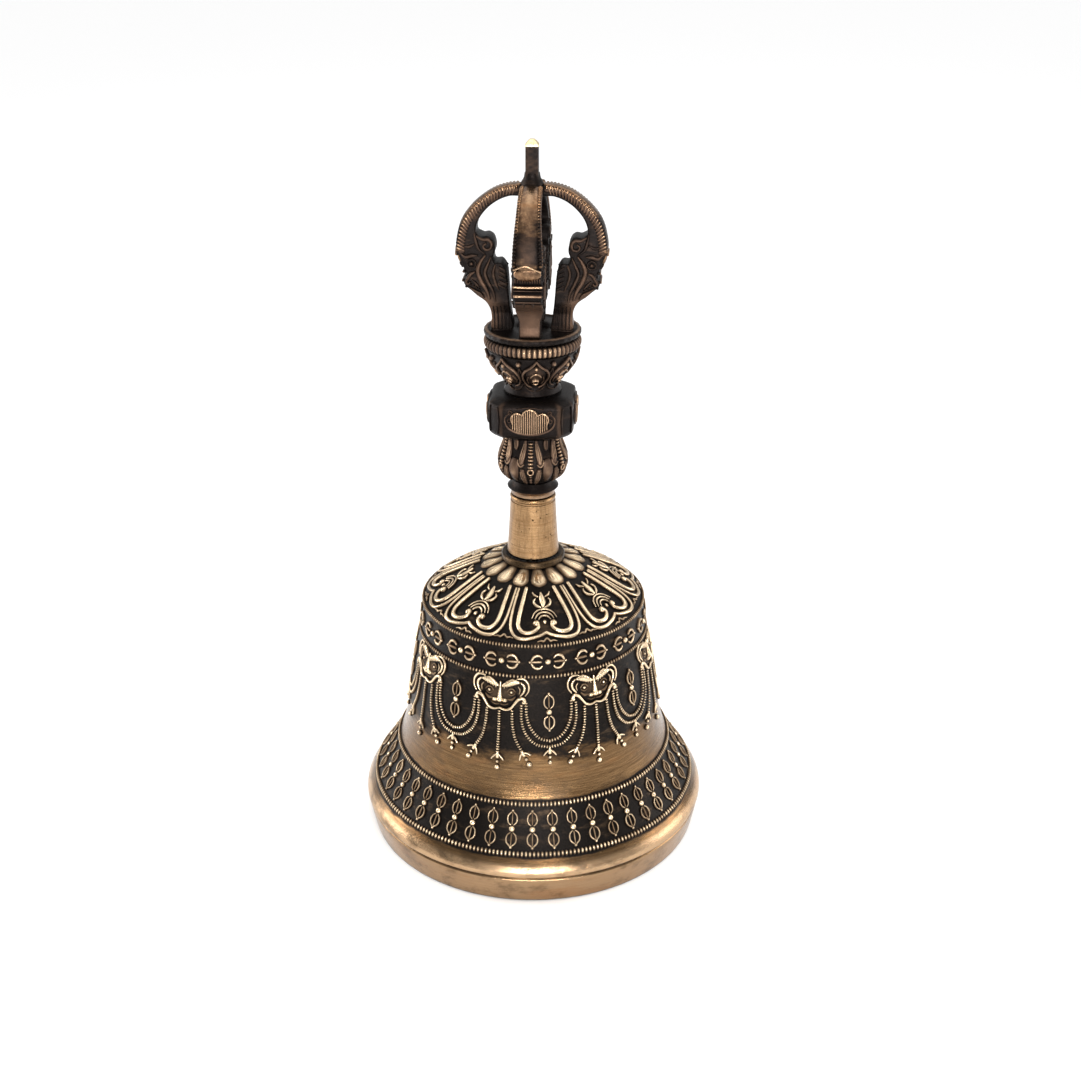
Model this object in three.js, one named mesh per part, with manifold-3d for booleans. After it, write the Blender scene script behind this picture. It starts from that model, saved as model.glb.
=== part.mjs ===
// A Tibetan ritual bell (drilbu): a cast bell with a half-vajra handle on top and a hung clapper inside.
// Millimetres, +Z up. The bell stands on its rim at z = 0 and its axis is the Z axis.
import * as THREE from "three";
import { mergeVertices } from "three/addons/utils/BufferGeometryUtils.js";
import Module from "manifold-3d";

// ---- driving dimensions ----
const ROUND = 48; // segments round the axis on the bell
const ROUND_SMALL = 32; // segments round the axis on the handle
const GAP = 0.3; // clearance between stacked pieces

const CROWN_TOP = 72.7; // top of the bell casting, where the handle stands
const CROWN_CEILING = 69.6; // underside of the crown, inside
const ROD_R = 2.0; // threaded rod that holds the stack together
const ROD_BORE_R = 2.4; // clearance bore for the rod
const ROD_BOTTOM = 64.0;
const ROD_TOP = 124.0;

const FLANGE_R = 7.8;
const FLANGE_TOP = 74.6;
const SLEEVE_BOTTOM_R = 6.35;
const SLEEVE_TOP_R = 5.5;
const SLEEVE_BORE_R = 4.3;
const SLEEVE_TOP = 90.2;
const COLLAR_TOP = 94.1;
const KNOP_TOP = 106.2;
const BLOCK_TOP = 116.6;
const BLOCK_HALF = 10.0; // half width across the flats
const BLOCK_CORNER = 3.0; // how far the upright corners are cut back
const CUP_TOP = 127.2;
const BEAD_RING_TOP = 130.0;
const DISC_TOP = 132.0;
const DISC_R = 11.4;

const PRONG_TOP = 165.1;
const SPIKE_HALF = 1.65; // half width of the square centre spike at its foot
const SPIKE_TIP_HALF = 1.45;
const SPIKE_TOP = 174.7;
const SPIKE_HUB_R = 2.6; // boss where the four prongs close on the spike
const PRONG_START = SPIKE_HUB_R + 0.35;

const WASHER_R = 6.5;
const WASHER_T = 1.2;
const EYE_R = 2.6; // mean radius of the eyes of the hanger and the clapper
const EYE_WIRE_R = 0.9;
const LINK_R = 3.3; // mean radius of the wire link
const LINK_WIRE_R = 0.8;
const HANG_GAP = 0.15; // running clearance between the hung rings
const HANGER_EYE_Z = 59.6; // centre of the hanger's eye
const HANGER_TOP = CROWN_CEILING - GAP - WASHER_T - GAP;
const HANGER_BOTTOM = HANGER_EYE_Z + EYE_R + 0.4;
const LINK_PIVOT_Z = HANGER_EYE_Z - EYE_R; // the link hinges on the eye's lower wire
const LINK_Z = LINK_PIVOT_Z + EYE_WIRE_R + LINK_WIRE_R + HANG_GAP - LINK_R;
const CLAPPER_PIVOT_Z = LINK_Z - LINK_R; // the clapper hinges on the link's lower wire
const CLAPPER_EYE_Z = CLAPPER_PIVOT_Z + EYE_WIRE_R + LINK_WIRE_R + HANG_GAP - EYE_R;
const SHANK_R = 1.3;
const BALL_R = 6.5;
const BALL_Z = 12.5;

// ---- materials ----
const metal = (color, roughness) =>
  new THREE.MeshStandardMaterial({ color, roughness, metalness: 1 });
const bellBronze = metal(0x8a6a42, 0.38);
const agedBronze = metal(0x3b2c24, 0.45);
const copperBrown = metal(0x7a5640, 0.4);
const turnedBrass = metal(0xb08a5c, 0.3);
const steel = metal(0x8d8d8a, 0.4);

// ---- helpers ----
const bell = new THREE.Group();

function piece(name, geometry, material) {
  const mesh = new THREE.Mesh(geometry, material.clone());
  mesh.name = name;
  bell.add(mesh);
  return mesh;
}

// A solid of revolution about Z from [radius, z] points that run anticlockwise round the section.
function turned(points, segments = ROUND_SMALL) {
  const profile = points.map(([r, z]) => new THREE.Vector2(r, z));
  return new THREE.LatheGeometry(profile, segments).rotateX(Math.PI / 2);
}

// A ring-shaped section closes on itself round its bore.
function turnedRing(points, segments = ROUND_SMALL) {
  return turned([...points, points[0]], segments);
}

// A tube-like piece: outer points from bottom to top, then straight down its bore.
function bored(outer, boreR, segments = ROUND_SMALL) {
  const top = outer[outer.length - 1][1];
  return turnedRing([[boreR, outer[0][1]], ...outer, [boreR, top]], segments);
}

const wasm = await Module();
wasm.setup();

function solid(geometry) {
  const bare = geometry.index ? geometry.toNonIndexed() : geometry.clone();
  bare.deleteAttribute("normal");
  bare.deleteAttribute("uv");
  const merged = mergeVertices(bare, 1e-4);
  const triVerts = new Uint32Array(merged.index.array);
  const vertProperties = merged.attributes.position.array;
  return new wasm.Manifold(new wasm.Mesh({ numProp: 3, vertProperties, triVerts }));
}

function geometryOf(manifold) {
  const mesh = manifold.getMesh();
  const geometry = new THREE.BufferGeometry();
  geometry.setAttribute("position", new THREE.BufferAttribute(mesh.vertProperties, 3));
  geometry.setIndex(new THREE.BufferAttribute(mesh.triVerts, 1));
  const flat = geometry.toNonIndexed();
  flat.computeVertexNormals();
  return flat;
}

// An outline in (radius, z) extruded sideways by +-halfWidth, standing in the plane y = 0.
function plate(outline, halfWidth) {
  const shape = new THREE.Shape(outline.map(([x, z]) => new THREE.Vector2(x, z)));
  const depth = 2 * halfWidth;
  const geometry = new THREE.ExtrudeGeometry(shape, { depth, bevelEnabled: false });
  return geometry.translate(0, 0, -halfWidth).rotateX(Math.PI / 2);
}

// Points on a smooth curve through the given [x, z] points.
function smooth(points, count) {
  const curve = new THREE.CatmullRomCurve3(
    points.map(([x, z]) => new THREE.Vector3(x, 0, z)), false, "centripetal");
  return curve.getSpacedPoints(count).map((p) => [p.x, p.z]);
}

// ---- the bell casting ----
const RIM = [[38.2, 0], [42.1, 0], [42.5, 0.8], [43.6, 6.9], [43.1, 7.3], [43.1, 7.8], [44, 8.2]];
const FLARE = [[43.8, 9.6], [41.2, 13], [37.9, 17.8], [34.9, 23.1], [33.4, 27.5], [32.3, 32.5]];
const WALL = [[31.2, 39.5], [30, 47], [28.6, 54.8], [27.5, 62.4]];
const DOME = [[26.8, 63.5], [25.1, 65.1], [22.4, 67], [19, 68.9], [15, 70.8], [11.5, 72.1]];
const CROWN = [[8.6, CROWN_TOP], [ROD_BORE_R, CROWN_TOP], [ROD_BORE_R, CROWN_CEILING]];
const CEILING = [[9, CROWN_CEILING], [14, 68.3], [18.5, 66.3], [22.2, 63.6], [24.4, 60.2]];
const INSIDE = [[25.6, 54.8], [27.2, 46], [28.6, 37], [30.2, 28], [31.6, 22.5], [35, 16], [37.4, 9]];
piece("bell_body",
  turnedRing([...RIM, ...FLARE, ...WALL, ...DOME, ...CROWN, ...CEILING, ...INSIDE], ROUND),
  bellBronze);

// ---- the neck and the turned stack of the handle ----
const flangeFoot = CROWN_TOP + GAP;
piece("neck_flange",
  bored([[FLANGE_R - 0.3, flangeFoot], [FLANGE_R, flangeFoot + 0.5], [FLANGE_R, FLANGE_TOP - 0.5],
    [FLANGE_R - 0.4, FLANGE_TOP]], ROD_BORE_R),
  turnedBrass);

piece("neck_sleeve",
  bored([[SLEEVE_BOTTOM_R, FLANGE_TOP + GAP], [SLEEVE_BOTTOM_R - 0.3, 78], [5.75, 84],
    [SLEEVE_TOP_R, 88.6], [SLEEVE_TOP_R - 0.25, 88.8], [SLEEVE_TOP_R - 0.25, 89.1],
    [SLEEVE_TOP_R, 89.3], [SLEEVE_TOP_R, SLEEVE_TOP]], SLEEVE_BORE_R),
  turnedBrass);

piece("neck_collar",
  bored([[SLEEVE_TOP_R, SLEEVE_TOP + GAP], [6.15, 91.8], [5.6, 93], [5, COLLAR_TOP]], ROD_BORE_R),
  copperBrown);

piece("vase_knop",
  bored([[4.9, COLLAR_TOP + GAP], [6.2, 95.3], [7.6, 96.6], [8.2, 98.6], [8.1, 100.2],
    [7.6, 102], [6.8, 104], [6.5, KNOP_TOP]], ROD_BORE_R),
  agedBronze);

// ---- the square block, with cut-back corners and a bored centre ----
function handleBlock() {
  const bottom = KNOP_TOP + GAP;
  const front = [[6.8, bottom], [9.3, bottom + 1.2], [BLOCK_HALF, bottom + 2.4], [BLOCK_HALF, 115.4],
    [8.4, BLOCK_TOP]];
  const outline = [...front, ...front.map(([x, z]) => [-x, z]).reverse()];
  const across = plate(outline, 2 * BLOCK_HALF);
  const corner = BLOCK_HALF - BLOCK_CORNER;
  const plan = [[BLOCK_HALF, -corner], [BLOCK_HALF, corner], [corner, BLOCK_HALF],
    [-corner, BLOCK_HALF], [-BLOCK_HALF, corner], [-BLOCK_HALF, -corner],
    [-corner, -BLOCK_HALF], [corner, -BLOCK_HALF]];
  const column = new THREE.ExtrudeGeometry(
    new THREE.Shape(plan.map(([x, y]) => new THREE.Vector2(x, y))),
    { depth: BLOCK_TOP + 2, bevelEnabled: false });
  const bore = turned([[0, bottom - 1], [ROD_BORE_R, bottom - 1], [ROD_BORE_R, BLOCK_TOP + 1],
    [0, BLOCK_TOP + 1]]);
  const crossed = solid(across).intersect(solid(across.clone().rotateZ(Math.PI / 2)));
  return geometryOf(crossed.intersect(solid(column)).subtract(solid(bore)));
}
piece("handle_block", handleBlock(), agedBronze);

// ---- lotus cup, bead ring and moon disc ----
const cupFoot = BLOCK_TOP + GAP;
piece("lotus_cup",
  turned([[0, ROD_TOP + 0.4], [ROD_BORE_R, ROD_TOP + 0.4], [ROD_BORE_R, cupFoot], [6.9, cupFoot],
    [6.5, 118], [6.3, 119.2], [7.2, 121.3], [8.6, 122.8], [9.6, 124.2], [10.3, 125.8],
    [10.7, CUP_TOP], [0, CUP_TOP]]),
  agedBronze);

piece("bead_ring",
  turned([[0, CUP_TOP + GAP], [10.9, CUP_TOP + GAP], [11.5, 128.1], [11.5, 129.4],
    [11, BEAD_RING_TOP], [0, BEAD_RING_TOP]]),
  copperBrown);

piece("moon_disc",
  turned([[0, BEAD_RING_TOP + GAP], [10.6, BEAD_RING_TOP + GAP], [DISC_R, 130.8], [DISC_R, 131.5],
    [10.9, DISC_TOP], [0, DISC_TOP]]),
  agedBronze);

// ---- the four prongs, each rising from a sea-beast's head to close on the spike ----
function prong() {
  const foot = DISC_TOP + GAP;
  const back = smooth([[9.5, 135.6], [10.2, 137.7], [12.7, 139.7], [15, 141.4], [15.3, 143.4],
    [16.4, 146.4], [17.3, 150.4], [17.1, 152.8], [16, 156.9], [13.4, 160.5], [9.1, 163.7],
    [5.4, 164.9], [PRONG_START, PRONG_TOP]], 30);
  const arch = smooth([[PRONG_START, 162.7], [5.3, 162.6], [8.8, 160.7], [11.8, 157.9],
    [12.6, 154.8]], 10);
  const crest = smooth([[11.8, 153.8], [9.3, 153.3], [8.4, 151.4], [8.7, 148.3]], 8);
  const curl = smooth([[6.5, 147.5], [5.6, 145.6], [5.3, 141], [4.7, 136.8]], 8);
  const outline = [[4.3, foot], [9.5, foot], ...back, ...arch, ...crest, ...curl];
  const halfWidths = [[2.4, foot - 1], [2.4, 135.8], [3.5, 138.4], [3.5, 150], [3.3, 154],
    [2.8, 160], [2.65, PRONG_TOP + 1]];
  const mirrored = halfWidths.map(([w, z]) => [-w, z]).reverse();
  const frontCut = plate([...halfWidths, ...mirrored], 30).rotateZ(Math.PI / 2);
  return geometryOf(solid(plate(outline, 5)).intersect(solid(frontCut)));
}
const prongGeometry = prong();
const PRONGS = [["prong_right", 0], ["prong_back", 90], ["prong_left", 180], ["prong_front", 270]];
for (const [name, degrees] of PRONGS) {
  piece(name, prongGeometry.clone(), copperBrown).rotation.z = THREE.MathUtils.degToRad(degrees);
}

// ---- the centre spike: a square tapered bar with a round boss under the prong tips ----
function centreSpike() {
  const foot = DISC_TOP + GAP;
  const side = [[SPIKE_HALF, foot], [SPIKE_TIP_HALF, SPIKE_TOP - 1.1], [0.5, SPIKE_TOP]];
  const outline = [...side, ...side.map(([x, z]) => [-x, z]).reverse()];
  const bar = solid(plate(outline, 4)).intersect(solid(plate(outline, 4).rotateZ(Math.PI / 2)));
  const hub = turned([[0, 162.2], [1.9, 162.2], [SPIKE_HUB_R, 162.8], [SPIKE_HUB_R, 165],
    [1.9, 166.4], [0, 166.4]], 24);
  return geometryOf(bar.add(solid(hub)));
}
piece("centre_spike", centreSpike(), agedBronze);

// ---- fixings inside the bell ----
piece("tie_rod", turned([[0, ROD_BOTTOM], [ROD_R, ROD_BOTTOM], [ROD_R, ROD_TOP], [0, ROD_TOP]], 20),
  steel);

const washerTop = CROWN_CEILING - GAP;
piece("crown_washer",
  bored([[WASHER_R, washerTop - WASHER_T], [WASHER_R, washerTop]], ROD_BORE_R), steel);

// A wire ring lying in the plane y = 0, centred on the axis at height z.
function wireRing(meanR, wireR, z) {
  return new THREE.TorusGeometry(meanR, wireR, 10, 28).rotateX(Math.PI / 2).translate(0, 0, z);
}

function clapperHanger() {
  const nut = turned([[0, HANGER_BOTTOM], [3.4, HANGER_BOTTOM], [4.4, HANGER_BOTTOM + 0.8],
    [4.4, HANGER_TOP], [ROD_BORE_R, HANGER_TOP], [ROD_BORE_R, ROD_BOTTOM - 0.3],
    [0, ROD_BOTTOM - 0.3]], 6);
  return geometryOf(solid(nut).add(solid(wireRing(EYE_R, EYE_WIRE_R, HANGER_EYE_Z))));
}
piece("clapper_hanger", clapperHanger(), steel);

// ---- the moving pieces ----
piece("clapper_link", wireRing(LINK_R, LINK_WIRE_R, LINK_Z).rotateZ(Math.PI / 2), steel);

function clapperShank() {
  const eye = solid(wireRing(EYE_R, EYE_WIRE_R, CLAPPER_EYE_Z));
  const eyeBottom = CLAPPER_EYE_Z - EYE_R - 0.5;
  const rod = turned([[0, BALL_Z], [SHANK_R, BALL_Z], [SHANK_R, eyeBottom], [0, eyeBottom]], 20);
  return geometryOf(eye.add(solid(rod)));
}
piece("clapper_shank", clapperShank(), steel);

function clapperBall() {
  const boreR = SHANK_R + GAP;
  const top = BALL_Z + Math.sqrt(BALL_R ** 2 - boreR ** 2);
  const points = [[0, BALL_Z - BALL_R]];
  const steps = 14;
  const lastAngle = Math.acos(boreR / BALL_R);
  for (let i = 1; i <= steps; i++) {
    const angle = -Math.PI / 2 + ((lastAngle + Math.PI / 2) * i) / steps;
    points.push([BALL_R * Math.cos(angle), BALL_Z + BALL_R * Math.sin(angle)]);
  }
  points[points.length - 1] = [boreR, top];
  points.push([boreR, BALL_Z - GAP], [0, BALL_Z - GAP]);
  return turned(points, 28);
}
piece("clapper_ball", clapperBall(), bellBronze);

export default bell;
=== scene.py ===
import math

import bpy
import numpy as np
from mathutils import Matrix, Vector
from mathutils.geometry import tessellate_polygon


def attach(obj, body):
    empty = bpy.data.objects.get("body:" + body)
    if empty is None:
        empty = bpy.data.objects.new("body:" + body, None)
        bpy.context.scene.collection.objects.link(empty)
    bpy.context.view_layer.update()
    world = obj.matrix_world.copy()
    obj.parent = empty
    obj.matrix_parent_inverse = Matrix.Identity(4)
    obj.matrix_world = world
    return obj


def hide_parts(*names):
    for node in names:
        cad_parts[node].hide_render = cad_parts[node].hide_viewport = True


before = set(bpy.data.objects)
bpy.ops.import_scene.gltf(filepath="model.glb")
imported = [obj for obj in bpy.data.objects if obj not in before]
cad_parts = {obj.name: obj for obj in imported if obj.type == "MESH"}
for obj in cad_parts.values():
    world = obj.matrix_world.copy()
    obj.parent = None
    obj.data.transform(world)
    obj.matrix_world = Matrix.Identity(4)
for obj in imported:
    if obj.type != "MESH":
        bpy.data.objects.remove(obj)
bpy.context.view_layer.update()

# Lengths below are millimetres. Angles are measured from -Y towards +X.
MM = 0.001
TURN = 2 * math.pi
PATTERN = math.radians(11.0)  # the bell's ornament is turned this far from the handle's prongs
SECTORS = 8
SECTOR = TURN / SECTORS
SUNK = 0.15  # how far an applied ornament reaches below the surface that carries it
AXIS = 0.05  # the radius at which a turned piece without a bore closes
ROD_BORE, NECK_BORE = 2.4, 4.4  # the bores of the handle's pieces


# ---- curves and profiles ----

def run_along(points):
    """The length run along a line of 2-D points, at each of them."""
    return np.concatenate([[0], np.cumsum(np.linalg.norm(np.diff(points, axis=0), axis=1))])


def smooth_path(points, step, closed=False):
    """Evenly spaced points on a centripetal Catmull-Rom curve through the given 2-D points."""
    p = np.array(points, float)
    if closed:
        p = np.vstack([p[-1], p, p[:2]])
    else:
        p = np.vstack([2 * p[0] - p[1], p, 2 * p[-1] - p[-2]])
    knots = np.concatenate([[0], np.cumsum(np.linalg.norm(np.diff(p, axis=0), axis=1) ** 0.5)])

    def between(a, b, start, end, t):
        return (end - t) / (end - start) * a + (t - start) / (end - start) * b

    fine = []
    for i in range(1, len(p) - 2):
        t0, t1, t2, t3 = knots[i - 1:i + 3]
        t = np.linspace(t1, t2, 24, endpoint=False)[:, None]
        a = between(p[i - 1], p[i], t0, t1, t)
        b = between(p[i], p[i + 1], t1, t2, t)
        c = between(p[i + 1], p[i + 2], t2, t3, t)
        fine.append(between(between(a, b, t0, t2, t), between(b, c, t1, t3, t), t1, t2, t))
    fine = np.vstack(fine + [p[1:2] if closed else p[-2:-1]])
    run = run_along(fine)
    at = np.linspace(0, run[-1], max(2, int(round(run[-1] / step)) + 1))
    if closed:
        at = at[:-1]
    return np.stack([np.interp(at, run, fine[:, 0]), np.interp(at, run, fine[:, 1])], 1)


class Profile:
    """A line of radii and heights, against the length run along it."""

    def __init__(self, points):
        p = np.array(points, float)
        p = p[np.concatenate([[True], np.diff(run_along(p)) > 1e-6])]
        self.r, self.z = p[:, 0], p[:, 1]
        self.s = run_along(p)
        dr, dz = np.gradient(self.r, self.s), np.gradient(self.z, self.s)
        size = np.hypot(dr, dz)
        self.nr, self.nz = -dz / size, dr / size

    def lift(self, s, h):
        """The radius and height at a run along the profile, raised by h."""
        r, z, nr, nz = (np.interp(s, self.s, v) for v in (self.r, self.z, self.nr, self.nz))
        return np.stack([r + h * nr, z + h * nz])

    def forward(self, s):
        """The direction in which the profile runs."""
        return np.stack([np.interp(s, self.s, self.nz), -np.interp(s, self.s, self.nr)])

    def place(self, angle, s, h):
        """Points round the axis at an angle and a run along the profile, raised by h."""
        r, z = self.lift(s, h)
        return np.stack(np.broadcast_arrays(r * np.sin(angle), -r * np.cos(angle), z), -1)

    def run_at_height(self, z):
        """The run at which a profile that only descends reaches the height z."""
        return np.interp(-z, -self.z, self.s)

    def run_at_radius(self, r):
        return np.interp(r, self.r, self.s)


def chain(*parts):
    """Joins stretches of a profile: each is (points, step) and is smoothed, or left as it is at step 0."""
    rows = [smooth_path(points, step) if step else np.array(points, float) for points, step in parts]
    return np.vstack(rows)


def bored(outline, bore=AXIS):
    """The closed profile of a turned piece: up the given outline, and back down its bore."""
    line = np.array(outline, float)
    line = np.vstack([[bore, line[0, 1]], line, [bore, line[-1, 1]], [bore, line[0, 1]]])
    return Profile(line[::-1])


# ---- meshes ----

class Builder:
    """Gathers closed shapes into one mesh, with two attributes on its points: relief, and one that marks
    polish and painted highlights.
    """

    def __init__(self):
        self.points, self.quads, self.tris = [], [], []
        self.relief, self.polish = [], []
        self.count = 0

    def add(self, points, quads=(), tris=(), relief=0.0, polish=0.0):
        """Adds one closed shape, with its faces turned to look outwards."""
        points = np.asarray(points, float)
        quads = np.asarray(quads, int).reshape(-1, 4)
        tris = np.asarray(tris, int).reshape(-1, 3)
        halves = np.vstack([tris, quads[:, :3], quads[:, [0, 2, 3]]])
        a, b, c = (points[halves[:, k]] - points[0] for k in range(3))
        if np.einsum("ij,ij->", a, np.cross(b, c)) < 0:
            quads, tris = quads[:, ::-1], tris[:, ::-1]
        self.quads.append(quads + self.count)
        self.tris.append(tris + self.count)
        self.points.append(points)
        self.relief.append(np.broadcast_to(relief, len(points)))
        self.polish.append(np.broadcast_to(polish, len(points)))
        self.count += len(points)

    def mesh(self, name):
        quads, tris = np.vstack(self.quads), np.vstack(self.tris)
        mesh = bpy.data.meshes.new(name)
        points = np.vstack(self.points) * MM
        mesh.vertices.add(len(points))
        mesh.vertices.foreach_set("co", points.astype(np.float32).ravel())
        loops = np.concatenate([quads.ravel(), tris.ravel()])
        sizes = np.concatenate([np.full(len(quads), 4), np.full(len(tris), 3)])
        starts = np.concatenate([[0], np.cumsum(sizes)[:-1]])
        mesh.loops.add(len(loops))
        mesh.loops.foreach_set("vertex_index", loops.astype(np.int32))
        mesh.polygons.add(len(sizes))
        mesh.polygons.foreach_set("loop_start", starts.astype(np.int32))
        mesh.update(calc_edges=True)
        for key, rows in (("relief", self.relief), ("polish", self.polish)):
            layer = mesh.attributes.new(key, "FLOAT", "POINT")
            layer.data.foreach_set("value", np.concatenate(rows).astype(np.float32))
        mesh.polygons.foreach_set("use_smooth", np.ones(len(sizes), bool))
        mesh.validate()
        return mesh


def in_scene(name, data):
    thing = bpy.data.objects.new(name, data)
    bpy.context.scene.collection.objects.link(thing)
    return thing


def show(name, builder, material, body="bell", replaces=None, sharp=None):
    """Puts a mesh in the scene as a piece of the object, in place of the CAD nodes named or its own."""
    mesh = builder.mesh(name)
    if sharp:
        mesh.set_sharp_from_angle(angle=math.radians(sharp))
    mesh.materials.append(material)
    piece = in_scene(name, mesh)
    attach(piece, body)
    replaces = [name] if replaces is None else replaces
    if replaces:
        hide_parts(*replaces)
    return piece


def grid_quads(rows, columns, wrap_rows=False, wrap_columns=False):
    """Quads of a grid of points stored row by row."""
    i = np.arange(rows if wrap_rows else rows - 1)[:, None]
    j = np.arange(columns if wrap_columns else columns - 1)[None]
    i2, j2 = (i + 1) % rows, (j + 1) % columns
    quads = np.stack([i * columns + j, i * columns + j2, i2 * columns + j2, i2 * columns + j], -1)
    return quads.reshape(-1, 4)


def fan(tip, rim):
    """Triangles from one point to a closed row of points."""
    return np.stack([np.full(len(rim), tip), rim, np.roll(rim, -1)], 1)


def stroke(path, width, height, closed=False, step=0.3, across=6, floor=-SUNK):
    """A raised line on a flat ground, as points (x, y, h) and faces: round on top, with round ends."""
    line = smooth_path(path, step, closed)
    place = np.linspace(0, 1, len(line))
    w = np.interp(place, np.linspace(0, 1, np.size(width)), np.atleast_1d(width)) / 2
    top = np.interp(place, np.linspace(0, 1, np.size(height)), np.atleast_1d(height))
    along = np.roll(line, -1, 0) - np.roll(line, 1, 0) if closed else np.gradient(line, axis=0)
    along /= np.linalg.norm(along, axis=1)[:, None]
    if not closed:
        turns = np.radians([80, 50, 25])
        c, s = np.cos(turns), np.sin(turns)
        head = line[0] - w[0] * np.outer(s, along[0])
        tail = line[-1] + w[-1] * np.outer(s[::-1], along[-1])
        line = np.vstack([head, line, tail])
        along = np.vstack([along[[0] * 3], along, along[[-1] * 3]])
        w = np.concatenate([w[0] * c, w, w[-1] * c[::-1]])
        top = np.concatenate([top[0] * c ** 0.6, top, top[-1] * c[::-1] ** 0.6])
    side = np.stack([-along[:, 1], along[:, 0]], 1)
    angle = np.linspace(0, math.pi, across)
    off = np.concatenate([[1], np.cos(angle), [-1]])
    rise = np.concatenate([[0], np.sin(angle) ** 0.8, [0]])
    n, m = len(line), len(off)
    xy = line[:, None] + side[:, None] * (w[:, None] * off)[..., None]
    h = top[:, None] * rise
    h[:, 0] = h[:, -1] = floor
    points = np.concatenate([xy, h[..., None]], -1).reshape(-1, 3)
    quads = grid_quads(n, m, closed, True)
    if closed:
        return points, quads, ()
    points = np.vstack([points, points[:m].mean(0), points[-m:].mean(0)])
    section = np.arange(m)
    return points, quads, np.vstack([fan(n * m, section[::-1]), fan(n * m + 1, (n - 1) * m + section)])


def bead(x, y, rx, ry, height, turn=0.0, around=10, floor=-SUNK):
    """A raised bead on a flat ground, as points (x, y, h) and faces."""
    lift = np.radians([0, 0, 28, 56, 78])
    a = np.arange(around) * TURN / around
    ring = np.cos(lift)[:, None]
    px, py = rx * ring * np.cos(a), ry * ring * np.sin(a)
    h = np.repeat((np.sin(lift) * height)[:, None], around, 1)
    h[0] = floor
    c, s = math.cos(turn), math.sin(turn)
    points = np.stack([x + c * px - s * py, y + s * px + c * py, h], -1).reshape(-1, 3)
    points = np.vstack([points, [x, y, height], [x, y, floor]])
    rows, k = len(lift), np.arange(around)
    tris = np.vstack([fan(rows * around, k + (rows - 1) * around), fan(rows * around + 1, k[::-1])])
    return points, grid_quads(rows, around, False, True), tris


def hoop(x, y, rx, ry, width, height, step=0.25, across=5, floor=-SUNK):
    """A raised ring on a flat ground."""
    path = [(x + rx * math.sin(t), y + ry * math.cos(t)) for t in np.arange(8) * TURN / 8]
    return stroke(path, width, height, True, step, across, floor)


class Ground:
    """Applies flat shapes to a surface, mirrored or not, into one builder."""

    def __init__(self, builder, wrap, full_height=0.7, polish=None):
        self.builder, self.wrap = builder, wrap
        self.full_height, self.polish = full_height, polish

    def put(self, shape, move=(0, 0), mirror=False, turn=0.0, scale=(1, 1)):
        points, quads, tris = shape
        x, y, h = points[:, 0] * scale[0], points[:, 1] * scale[1], points[:, 2]
        if mirror:
            x = -x
        c, s = math.cos(turn), math.sin(turn)
        x, y = c * x - s * y + move[0], s * x + c * y + move[1]
        relief = np.clip(h / self.full_height, 0, 1)
        polish = self.polish(x, y) if self.polish else 0.0
        self.builder.add(self.wrap(x, y, h), quads, tris, relief, polish)

    def both(self, shape, **place):
        self.put(shape, **place)
        self.put(shape, mirror=True, **place)

    def ridge(self, *line, place={}, **more):
        self.put(stroke(*line, **more), **place)

    def ridges(self, *line, place={}, **more):
        """A ridge and its mirror image."""
        self.both(stroke(*line, **more), **place)

    def dot(self, *size, place={}, **more):
        self.put(bead(*size, **more), **place)

    def dots(self, *size, place={}, **more):
        """A bead and its mirror image."""
        self.both(bead(*size, **more), **place)


def bead_string(ground, path, mirror=False):
    """A string of small beads along a path, each flattened along the string."""
    line = smooth_path(path, 0.68)
    for (x, y), (dx, dy) in zip(line, np.gradient(line, axis=0)):
        ground.put(bead(x, y, 0.27, 0.55, 0.62, math.atan2(dy, dx), around=8), mirror=mirror)


def spun(builder, profile, columns=96, reach=None, relief=0.0, polish=0.0):
    """A surface round the axis from a profile that closes on itself. reach gives its true radius."""
    r, z = profile.r[:-1, None], profile.z[:-1, None]
    angle = np.arange(columns)[None] * TURN / columns + 0 * r
    true_r = reach(angle, r, z) if reach else r + 0 * angle
    points = np.stack([true_r * np.sin(angle), -true_r * np.cos(angle), z + 0 * angle], -1)

    def spread(value):
        if callable(value):
            value = value(angle, r, z)
        return np.broadcast_to(value, angle.shape).ravel()

    builder.add(points.reshape(-1, 3), grid_quads(len(r), columns, True, True), relief=spread(relief),
                polish=spread(polish))


def turned_piece(name, outline, material, bore, columns, sharp=None, **more):
    """A piece of the handle that is only turned."""
    builder = Builder()
    spun(builder, bored(outline, bore), columns, **more)
    show(name, builder, material, sharp=sharp)


# ---- materials ----

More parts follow.
